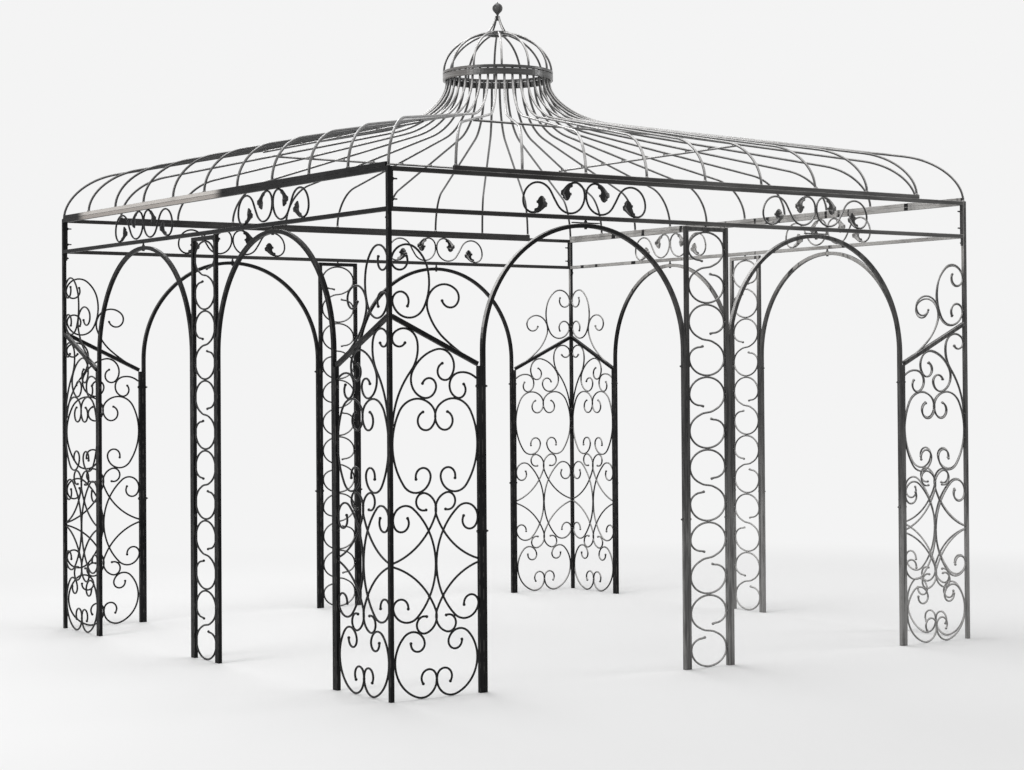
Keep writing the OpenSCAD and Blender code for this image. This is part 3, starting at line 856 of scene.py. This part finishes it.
leaf_outline = profile("leaf_outline", [p[:2] for p in LEAF_BLADE], [p[2] for p in LEAF_BLADE])
line = fascia_scroll()
leaf_runs = [leaf_run(line), leaf_run(line[::-1])]
forged = LEAF_ON_BAR * MM / SCROLL_BAR
LEAF_STEM = ((forged * 0.75, 0.7), (forged * 0.92, 1.15), (forged * 1.1, 1.2), (forged * 1.3, 1.0))
# The scrolls touch the rails over and under them, so heights take the place of x here
fascia_welds = touches([[(p.y * MM, m * p.x * MM) for p in line] for m in (-1, 1)], 0.0, FASCIA_GAP, WELD_REACH)
for i, side in enumerate(SIDES):
    scrolls, leaves = [], []
    for j in (0, 1):
        for m in (-1, 1):
            scrolls.append(hammered([on_fascia(i, j, m, p) for p in line], SCROLL_BAR, LEAF_STEM, LEAF_STEM))
            leaves += [[(on_fascia(i, j, m, p), width * MM) for p, width in run] for run in leaf_runs]
    bars(f"fascia_scrolls_{side}", scrolls, ROUND_OUTLINE, bar_paint, "iron_bar", side + "_fascia_scrolls",
         smooth=True)
    bars(f"fascia_leaves_{side}", leaves, leaf_outline, bar_paint, "iron_bar")

# ---- Roof bars ----
# Round bars spring from a rail of square tube on each fascia, bend over the eave, run up the
# shallow slope and turn up into the neck. Four longer ones follow the hips.
RING_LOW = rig.box("cupola_lower_ring")
RING_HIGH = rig.box("cupola_upper_ring")
RING_THICK = 0.014
RING_RADIUS = RING_LOW[1].x - RING_THICK / 2
ROOF_BAR = 0.0065
SIDE_BARS = 9
ROOF_BARS = 4 * (SIDE_BARS + 1)
BAR_PITCH = 2 * half / (SIDE_BARS + 1)
NECK_RADIUS = RING_RADIUS - RING_THICK / 2 - 4 * SEAT - ROOF_BAR
RING_RISE = RING_LOW[0].z - FASCIA_TOP
RING_LAP = 0.044
SLOPE_FOOT, SLOPE_HEAD = 0.204, 0.500
SHOULDER_PART, NECK_PART = 0.14, 0.17
BEND_STEP = 6
ROOF_BLACKS = ((0.004, 0.004, 0.0045), (0.018, 0.018, 0.0175), (0.14, 0.135, 0.13))


def slope_z(t):
    """Height of the slope over the fascia, from the neck at 0 out to the eave at 1."""
    return SLOPE_HEAD + (SLOPE_FOOT - SLOPE_HEAD) * t


def roof_run(angle, foot, foot_z):
    """One roof bar, from inside the rings at that angle round the neck out to its foot."""
    head = Vector((NECK_RADIUS * cos(angle), NECK_RADIUS * sin(angle)))
    shape = [(0.0, RING_RISE + RING_LAP)]
    for a in map(radians, range(90, -1, -BEND_STEP)):
        t = NECK_PART * (1 - sin(a))
        shape.append((t, slope_z(t) + (RING_RISE - SLOPE_HEAD) * (1 - cos(a))))
    for a in map(radians, range(0, 91, BEND_STEP)):
        t = 1 - SHOULDER_PART + SHOULDER_PART * sin(a)
        shape.append((t, slope_z(t) - (SLOPE_FOOT - foot_z) * (1 - cos(a))))
    return [(Vector((*head.lerp(foot.xy, t), FASCIA_TOP + z)), ROOF_BAR) for t, z in shape]


def roof_highlight_and_wear(paint):
    """The roof's upward faces are painted pale grey all over, but less on its left side: paint worn along the upper
    faces, and a painted highlight.
    """
    slope_highlight_and_wear(paint, paint.across("X", -1.5, -0.6, 0.3, 1.0))


# The roof paint's pale upward faces are paint worn along the upper faces and a painted highlight
roof_paint = iron_paint("roof_paint_worn_and_highlighted", *ROOF_BLACKS, edge_wear=0.6, gloss=0.55, sheen=0.24,
                        patch_scale=1.6, wear_and_painted_light=roof_highlight_and_wear)
hip_runs = []
for i, side in enumerate(SIDES):
    side_angle = pi / 2 * i
    hip_runs.append(roof_run(radians(-135) + side_angle, on_side(i, TUBE / 2, 0.0), SEAT))
    runs = []
    for k in range(1, SIDE_BARS + 1):
        angle = radians(-90 + (k - (SIDE_BARS + 1) / 2) * 360 / ROOF_BARS) + side_angle
        runs.append(roof_run(angle, on_side(i, k * BAR_PITCH, 0.0), TUBE - WELD))
    bars("roof_bars_" + side, runs, ROUND_OUTLINE, roof_paint, "roof_iron", smooth=True)
    start = TUBE + SEAT if i % 2 else BAR_PITCH - TUBE / 2
    rail = straight(*(on_side(i, x, FASCIA_TOP + SEAT + (TUBE - SEAT) / 2) for x in (start, 2 * half - start)),
                    width=(TUBE - SEAT) / 2)
    bars("eave_rail_" + side, [rail], TUBE_OUTLINE, rail_paints[i % 2], "roof_iron", side + "_roof_bars")
bars("hip_roof_bars", hip_runs, ROUND_OUTLINE, roof_paint, "roof_iron", "hip_bars", smooth=True)

# ---- Cupola ----
# A flat band and a second ring over it hold the ends of the roof bars. Twelve ribs rise from
# the upper ring to a collar, and four stays lean in from the collar to a cast ball.
lower_half = (RING_LOW[1].z - RING_LOW[0].z) / 2
upper_half = (RING_HIGH[1].z - RING_HIGH[0].z) / 2
DOME_Z = RING_HIGH[1].z
DOME_RISE, DOME_RIBS, DOME_RIB, RIB_STEPS = 0.212, 12, 0.006, 20
COLLAR_RADIUS, COLLAR_THICK, COLLAR_HEIGHT = 0.058, 0.014, 0.018
COLLAR_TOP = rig.box("dome_cage")[1].z
RING_SIDES, COLLAR_SIDES, BALL_SIDES = 96, 48, 48
# Towards the left side one third of the neck is painted in streaked pale greys: partly worn paint, partly a painted
# highlight
NECK_PALE_SIDE = Vector((-0.944, 0.33))
NECK_PALE_FROM, NECK_PALE_TO = 0.62, 0.74
NECK_DIM, NECK_PALE = (0.15, 0.142, 0.135), (0.30, 0.29, 0.28)


def circle(radius, z, width, steps):
    loop = [(Vector((x, y, z)), width) for x, y in round_points(radius, steps)]
    return loop + [(loop[0][0].copy(), width)]


# The neck's pale third: worn paint and a painted highlight, streaked between two greys
def neck_wear_and_highlight(paint):
    facing = paint.maths("ADD", paint.maths("MULTIPLY", paint.parted.outputs["X"], NECK_PALE_SIDE.x),
                         paint.maths("MULTIPLY", paint.parted.outputs["Y"], NECK_PALE_SIDE.y))
    mask = paint.ranged(facing, NECK_PALE_FROM * RING_RADIUS, NECK_PALE_TO * RING_RADIUS)
    paint.colour = paint.blended(mask, paint.colour, paint.blended(paint.streaks, NECK_DIM, NECK_PALE))


# The neck paint carries the worn paint and the painted highlight on one third
neck_paint = iron_paint("neck_paint_worn_and_highlighted", *ROOF_BLACKS, edge_wear=0.6, gloss=0.40, sheen=0.27,
                        patch_scale=1.6, grain=(4.0, 4.0, 160.0), wear_and_painted_light=neck_wear_and_highlight)
band_outline = rolled_box("band_outline", lower_half / (RING_THICK / 2), 0.25)
ring_outline = rolled_box("ring_outline", upper_half / (RING_THICK / 2), 0.45)
for name, bottom, rise, outline, node in (
        ("neck_band", RING_LOW[0].z, lower_half, band_outline, "cupola_lower_ring"),
        ("neck_ring", RING_HIGH[0].z, upper_half, ring_outline, "cupola_upper_ring")):
    ring = circle(RING_RADIUS, bottom + rise, RING_THICK / 2, RING_SIDES)
    bars(name, [ring], outline, neck_paint, "roof_iron", node)

rib_end = acos(COLLAR_RADIUS / RING_RADIUS)
ribs = []
for k in range(DOME_RIBS):
    turn = Matrix.Rotation(tau * k / DOME_RIBS, 4, "Z")
    ribs.append([(turn @ Vector((RING_RADIUS * cos(a), 0.0, DOME_Z + DOME_RISE * sin(a))), DOME_RIB)
                 for a in (rib_end * n / RIB_STEPS for n in range(RIB_STEPS + 1))])
bars("dome_ribs", ribs, ROUND_OUTLINE, roof_paint, "roof_iron", "dome_cage", smooth=True)
collar_outline = rolled_box("collar_outline", COLLAR_HEIGHT / COLLAR_THICK, 0.3)
collar = circle(COLLAR_RADIUS, COLLAR_TOP - COLLAR_HEIGHT / 2, COLLAR_THICK / 2, COLLAR_SIDES)
bars("dome_collar", [collar], collar_outline, roof_paint, "roof_iron")

# The stays are curved: they lean in most at the collar and stand upright at the ball's stem
STAY, STEM_RADIUS, STAY_RISE, STAY_CURVE, STAY_STEPS = 0.005, 0.005, 0.088, 1.5, 16
top_radius = STEM_RADIUS + SEAT + STAY
foot_radius = COLLAR_RADIUS - (COLLAR_THICK - 2 * STAY) / 2
stays = []
for k in range(4):
    stay = []
    for n in range(STAY_STEPS + 1):
        reach = top_radius + (foot_radius - top_radius) * (1 - n / STAY_STEPS) ** STAY_CURVE
        spot = (reach, 0.0, COLLAR_TOP + SEAT + STAY_RISE * n / STAY_STEPS)
        stay.append((round_turn(k) @ Vector(spot), STAY))
    stays.append(stay)
bars("finial_stay_bars", stays, ROUND_OUTLINE, roof_paint, "roof_iron", "finial_stays", smooth=True)


def turned(name, rings, sides, finish, smooth=True):
    """A shape of round or many-sided rings of (radius, height), closed at both ends."""
    mesh = bpy.data.meshes.new(name)
    points = [(x, y, z) for r, z in rings for x, y in round_points(r, sides)]
    faces = [(n + k, n + (k + 1) % sides, n + sides + (k + 1) % sides, n + sides + k)
             for n in range(0, (len(rings) - 1) * sides, sides) for k in range(sides)]
    faces += [tuple(reversed(range(sides))), tuple(range((len(rings) - 1) * sides, len(rings) * sides))]
    mesh.from_pydata(points, [], faces)
    mesh.materials.append(finish)
    mesh.polygons.foreach_set("use_smooth", [smooth] * len(mesh.polygons))
    return put(name, mesh)


CAST_BLACKS = ((0.010, 0.010, 0.0105), (0.035, 0.035, 0.036), (0.2, 0.19, 0.18))
cast_paint = iron_paint("cast_finial_paint", *CAST_BLACKS, edge_wear=0.6, gloss=0.25, sheen=0.34,
                        patch_scale=14.0)
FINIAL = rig.box("finial_ball")
BALL_RADIUS = FINIAL[1].x
TIP = 0.007
# The stem flares into the ball, starting that far under it
FLARE_UNDER, FLARE_OUT, FLARE_UP, FLARE_CURVE = 0.016, 0.013, 0.0215, 2.2
# Radius of the drawn-out tip, and its height over the ball
TIP_RINGS = ((0.0052, -0.0002), (0.0036, 0.0016), (0.0026, 0.0042), (0.0016, TIP - 0.0008), (0.0006, TIP))
ball_z = FINIAL[1].z - TIP - BALL_RADIUS
flare_z = ball_z - BALL_RADIUS - FLARE_UNDER
rings = [(STEM_RADIUS, FINIAL[0].z), (STEM_RADIUS, flare_z)]
rings += [(STEM_RADIUS + FLARE_OUT * t ** FLARE_CURVE, flare_z + FLARE_UP * t)
          for t in (0.2, 0.4, 0.6, 0.8, 0.92)]
rings += [(BALL_RADIUS * cos(a), ball_z + BALL_RADIUS * sin(a)) for a in map(radians, range(-50, 76, 5))]
rings += [(r, ball_z + BALL_RADIUS + z) for r, z in TIP_RINGS]
finish_piece(turned("finial", rings, BALL_SIDES, cast_paint), "cast_finial", "finial_ball")

# ---- Purlins ----
# One round bar under the roof bars of each side ties them together half way up the slope,
# welded to the outer ones, which hang lowest there.
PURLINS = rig.box("purlins")
PURLIN_BAR = 0.006
PURLIN_PAST = 4 * ROOF_BAR
purlin_at = PURLINS[1].x - PURLIN_BAR
neck_angle = radians(360 / ROOF_BARS * (SIDE_BARS - 1) / 2)
neck_reach = NECK_RADIUS * cos(neck_angle)
purlin_share = (purlin_at - neck_reach) / (half - TUBE / 2 - neck_reach)
purlin_half = (BAR_PITCH * (SIDE_BARS - 1) / 2 * purlin_share
               + NECK_RADIUS * sin(neck_angle) * (1 - purlin_share) + PURLIN_PAST)
runs = [[(round_turn(i) @ Vector((s * purlin_half, -purlin_at, PURLINS[1].z - PURLIN_BAR)), PURLIN_BAR)
         for s in (-1, 1)] for i in range(4)]
bars("purlin_bars", runs, ROUND_OUTLINE, roof_paint, "roof_iron", "purlins", smooth=True)

# ---- Hangers and bolts ----
# A nutted stud hangs each arch by its crown from the lower rail, on the front over a short
# flat, and another ties each pier. Hexagon bolts join the legs and the frames' corners.
CROWN_PLATE, PLATE_WIDTH, PLATE_THICK = 0.150, 0.016, 0.005
plate_outline = rolled_box("plate_outline", PLATE_THICK / PLATE_WIDTH, 0.1)
plates = [straight(*(on_side(0, ARCH_MIDDLE + s * CROWN_PLATE / 2, ARCH_TOP + SEAT + PLATE_THICK / 2, j)
                     for s in (-1, 1)), width=PLATE_WIDTH / 2) for j in (0, 1)]
bars("crown_plates", plates, plate_outline, tube_paint, "iron_tube", "hangers")

# Parts set on points, each with its own Z turned along the point's axis
set_tree, given, result = new_tree("parts_on_points", "Parts", Points="Geometry", Part="Object",
                                   Finish="Material")
part = add_node(set_tree, "GeometryNodeObjectInfo")
axis = add_node(set_tree, "GeometryNodeInputNamedAttribute", {"Name": "axis"}, data_type="FLOAT_VECTOR")
size = add_node(set_tree, "GeometryNodeInputNamedAttribute", {"Name": "size"}, data_type="FLOAT")
aim = add_node(set_tree, "FunctionNodeAlignRotationToVector", axis="Z")
setting = add_node(set_tree, "GeometryNodeInstanceOnPoints")
wire(set_tree,
     given.outputs["Points"], setting.inputs["Points"],
     given.outputs["Part"], part.inputs["Object"],
     part.outputs["Geometry"], setting.inputs["Instance"],
     axis.outputs["Attribute"], aim.inputs["Vector"],
     aim.outputs[0], setting.inputs["Rotation"],
     size.outputs["Attribute"], setting.inputs["Scale"])
end_tree(set_tree, setting.outputs[0], given, result)


def set_parts(name, places, part, finish, slot):
    """Copies of a part at (point, axis, size)."""
    base = bpy.data.meshes.new(name + "_places")
    base.from_pydata([p for p, a, s in places], [], [])
    axes = [c for p, a, s in places for c in a]
    base.attributes.new("axis", "FLOAT_VECTOR", "POINT").data.foreach_set("vector", axes)
    base.attributes.new("size", "FLOAT", "POINT").data.foreach_set("value", [s for p, a, s in places])
    finish_piece(grown(name, base, set_tree, Part=part, Finish=finish), slot)


def single(name, rings, sides, finish, smooth=True):
    """One bolt or bead, which only serves to be copied onto points."""
    part = turned(name, rings, sides, finish, smooth)
    part.hide_render = True
    return part


BOLT_BLACKS = ((0.008, 0.008, 0.0085), (0.04, 0.04, 0.04), (0.26, 0.245, 0.23))
bolt_finish = iron_paint("bolt_paint", *BOLT_BLACKS, edge_wear=0.8, gloss=0.25, sheen=0.34, patch_scale=30.0)
# Radius and height of each edge, from the face that the part sits on
BOLT_HEAD = ((0.0090, 0.0), (0.0090, 0.0012), (0.0074, 0.0012), (0.0074, 0.0056), (0.0062, 0.0066))
NUT_END = ((0.0074, 0.0), (0.0074, 0.0058), (0.0062, 0.0066), (0.0038, 0.0066), (0.0038, 0.0120),
           (0.0030, 0.0130))
STUD = ((0.0080, 0.0), (0.0080, 0.0060), (0.0070, 0.0070), (0.0038, 0.0070), (0.0038, 0.0240), (0.0028, 0.0255))
bolt_head, nut_end, stud = (single(name, rings, 6, bolt_finish, smooth=False) for name, rings in (
    ("bolt_head", BOLT_HEAD), ("nut_end", NUT_END), ("stud", STUD)))

# Heights of the two bolts in each leg, on the panel's hand and on the pier's
BOLT_HEIGHTS = ((0.71, 0.71), (1.35, 1.435))
heads, nuts = [], []
for i in range(4):
    inward = round_turn(i) @ Vector((1.0, 0.0, 0.0))
    for j in (0, 1):
        way = inward if j == 0 else -inward
        for at_panel, at_pier in BOLT_HEIGHTS:
            heads.append((on_side(i, PANEL_OUT - TUBE, at_panel, j), -way, 1.0))
            nuts.append((on_side(i, PANEL_OUT + TUBE, at_panel, j), way, 1.0))
            heads.append((on_side(i, half - PIER_CLEAR / 2, at_pier, j), way, 1.0))
            nuts.append((on_side(i, half - PIER_WIDTH / 2 - TUBE, at_pier, j), -way, 1.0))
set_parts("leg_bolt_heads", heads, bolt_head, bolt_finish, "iron_tube")
set_parts("leg_nuts", nuts, nut_end, bolt_finish, "iron_tube")

# How far down the gap between the rails the studs of the end flats are
STUD_SHARES = (0.22, 0.79)
studs = []
for sx in (-1, 1):
    for sy in (-1, 1):
        for share in STUD_SHARES:
            z = FASCIA_TOP - TUBE - share * FASCIA_GAP
            spot = Vector((sx * (half - TUBE - SEAT - END_FLAT), sy * (half - TUBE / 2), z))
            studs.append((spot, Vector((-sx, 0, 0)), 1.0))
set_parts("corner_studs", studs, stud, bolt_finish, "iron_tube")

HANGER_STUD, CROWN_NUT = 0.005, 1.05
UP, DOWN = Vector((0, 0, 1)), Vector((0, 0, -1))
hanger_runs, hanger_nuts = [], []
for i in range(4):
    for x, low in ((ARCH_MIDDLE, ARCH_TOP), (2 * half - ARCH_MIDDLE, ARCH_TOP), (half, PIER_TOP)):
        hanger_runs.append(straight(on_side(i, x, low), on_side(i, x, RAIL_BOTTOM),
                                    width=HANGER_STUD))
        if x != half:
            hanger_nuts.append((on_side(i, x, low + (0 if i else PLATE_THICK)), UP, CROWN_NUT))
        hanger_nuts.append((on_side(i, x, low - TUBE), DOWN, 1.0))
bars("hanger_studs", hanger_runs, ROUND_OUTLINE, bolt_finish, "iron_tube", smooth=True)
set_parts("hanger_nuts", hanger_nuts, bolt_head, bolt_finish, "iron_tube")

# ---- Corner tongues and welds ----
# A bolted tongue laps the joint between each post and the stub over it. Beads of weld fasten
# the scrolls to each other and to the tubes, the roof bars to their rails and the purlins.
TONGUE, TONGUE_WIDE, TONGUE_DROP, TONGUE_RISE, TONGUE_NUT = 0.003, 0.008, 0.028, 0.032, 0.9
tongue_outline = rolled_box("tongue_outline", TONGUE_WIDE / TONGUE, 0.3)
tongues, tongue_nuts = [], []
for i in range(4):
    ends = (POST_TOP - TONGUE_DROP, POST_TOP + TONGUE_RISE)
    tongues.append(straight(*(on_side(i, TUBE / 2, z, y=TUBE + TONGUE) for z in ends), width=TONGUE))
    inward = round_turn(i) @ Vector((0.0, 1.0, 0.0))
    spot = on_side(i, TUBE / 2, POST_TOP - TONGUE_DROP / 2, y=TUBE + 2 * TONGUE)
    tongue_nuts.append((spot, inward, TONGUE_NUT))
bars("corner_tongues", tongues, tongue_outline, tube_paint, "iron_tube")
set_parts("tongue_nuts", tongue_nuts, nut_end, bolt_finish, "iron_tube")

WELD_BEAD = ((0.0010, -0.0056), (0.0040, -0.0042), (0.0056, 0.0), (0.0040, 0.0042), (0.0010, 0.0056))
FOOT_WELD = ((0.0088, 0.0), (0.0086, 0.0020), (0.0076, 0.0042), (0.0064, 0.0060))
BEAD_SIZES = (1.0, 1.18, 0.9, 1.08)
FOOT_BEAD, PURLIN_BEAD, PURLIN_BEAD_RISE = 0.93, 1.25, 0.001
panel_beads, pier_beads, fascia_beads, foot_beads, purlin_beads = [], [], [], [], []
for i in range(4):
    out = round_turn(i) @ Vector((0.0, 1.0, 0.0))
    for j in (0, 1):
        panel_beads += [(on_side(i, TUBE + x, z, j), out, BEAD_SIZES[n % 4])
                        for n, (x, z) in enumerate(panel_welds)]
        fascia_beads += [(on_side(i, ARCH_MIDDLE + x, RAIL_BOTTOM + TUBE + z, j), out, BEAD_SIZES[n % 4])
                         for n, (z, x) in enumerate(fascia_welds)]
    pier_beads += [(on_side(i, half + x, z), out, BEAD_SIZES[n % 4])
                   for n, (x, z) in enumerate(pier_welds[i])]
    foot_beads.append((on_side(i, TUBE / 2, FASCIA_TOP), UP, 1.0))
    for k in range(1, SIDE_BARS + 1):
        foot_beads.append((on_side(i, k * BAR_PITCH, FASCIA_TOP + TUBE), UP, BEAD_SIZES[k % 4] * FOOT_BEAD))
        angle = radians((k - (SIDE_BARS + 1) / 2) * 360 / ROOF_BARS)
        head = Vector((NECK_RADIUS * sin(angle), -NECK_RADIUS * cos(angle)))
        foot = Vector((k * BAR_PITCH - half, TUBE / 2 - half))
        crossing = head.lerp(foot, (purlin_at + head.y) / (head.y - foot.y))
        spot = Vector((crossing.x, -purlin_at, PURLINS[1].z + PURLIN_BEAD_RISE))
        purlin_beads.append((round_turn(i) @ spot, UP, PURLIN_BEAD))

weld_bead = single("weld_bead", WELD_BEAD, 7, bar_paint)
purlin_bead = single("purlin_bead", WELD_BEAD, 7, roof_paint)
foot_weld = single("foot_weld", FOOT_WELD, 10, roof_paint)
for name, beads, part, finish, slot in (
        ("panel_welds", panel_beads, weld_bead, bar_paint, "iron_bar"),
        ("pier_welds", pier_beads, weld_bead, bar_paint, "iron_bar"),
        ("fascia_welds", fascia_beads, weld_bead, bar_paint, "iron_bar"),
        ("roof_bar_foot_welds", foot_beads, foot_weld, roof_paint, "roof_iron"),
        ("purlin_welds", purlin_beads, purlin_bead, roof_paint, "roof_iron")):
    set_parts(name, beads, part, finish, slot)

# ---- Patterns put away ----
# The outlines, single bolts and single beads were only patterns for the pieces above, and
# are no part of the gazebo.
for used in [o for o in scene.objects if o.type == "MESH" and o.hide_render and "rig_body" not in o]:
    bpy.data.objects.remove(used)

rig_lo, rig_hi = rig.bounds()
json.dump({"cad": [list(cad_lo), list(cad_hi)], "visual": [list(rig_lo), list(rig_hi)]}, open("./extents.json", "w"))
